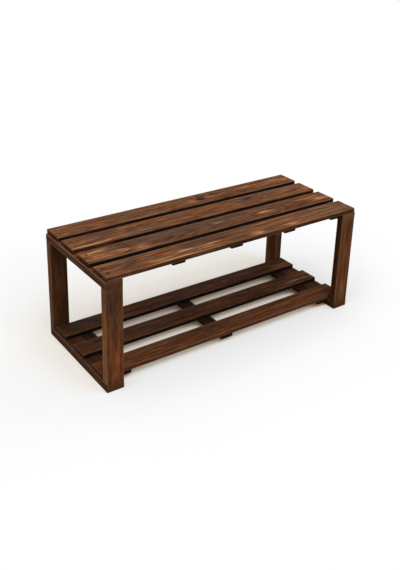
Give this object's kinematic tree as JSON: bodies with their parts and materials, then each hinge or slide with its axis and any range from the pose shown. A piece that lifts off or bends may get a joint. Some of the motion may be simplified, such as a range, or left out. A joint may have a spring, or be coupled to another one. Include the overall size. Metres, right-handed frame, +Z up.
{
  "type": "slatted wooden bench",
  "caption": "Low stained pine bench with a slatted seat on two board end frames and a slatted shelf near the floor.",
  "frame": {"origin": "on the floor under the middle of the seat", "axes": "+X along the seat, to the right seen from the front; +Y to the back; +Z up"},
  "size_m": [1.15, 0.46, 0.45],
  "materials": {
    "stained_pine_seat": "brown stain, satin, worn paler along the edges",
    "stained_pine_shelf": "brown stain, satin, worn paler along the edges",
    "stained_pine_frame": "dark brown stain, satin",
    "stained_pine_battens": "dark brown stain, dull",
    "nail_steel": "darkened bright wire",
    "screw_steel": "yellow passivated zinc"
  },
  "bodies": {
    "root": {"seat_slat_front": "stained_pine_seat", "seat_slat_mid_front": "stained_pine_seat", "seat_slat_mid_back": "stained_pine_seat", "seat_slat_back": "stained_pine_seat", "cross_board_left": "stained_pine_frame", "cross_board_right": "stained_pine_frame", "leg_front_left": "stained_pine_frame", "leg_back_left": "stained_pine_frame", "leg_front_right": "stained_pine_frame", "leg_back_right": "stained_pine_frame", "foot_board_left": "stained_pine_frame", "foot_board_right": "stained_pine_frame", "shelf_slat_front": "stained_pine_shelf", "shelf_slat_middle": "stained_pine_shelf", "shelf_slat_back": "stained_pine_shelf", "seat_batten_left": "stained_pine_battens", "seat_batten_middle": "stained_pine_battens", "seat_batten_right": "stained_pine_battens", "seat_batten_end": "stained_pine_battens", "shelf_batten_left": "stained_pine_battens", "shelf_batten_middle": "stained_pine_battens", "shelf_batten_right": "stained_pine_battens", "seat_slat_nails": "nail_steel", "shelf_slat_nails": "nail_steel", "leg_top_screws": "screw_steel", "leg_foot_screws": "screw_steel", "seat_batten_screws": "screw_steel", "shelf_batten_screws": "screw_steel"}
  },
  "joints": []
}
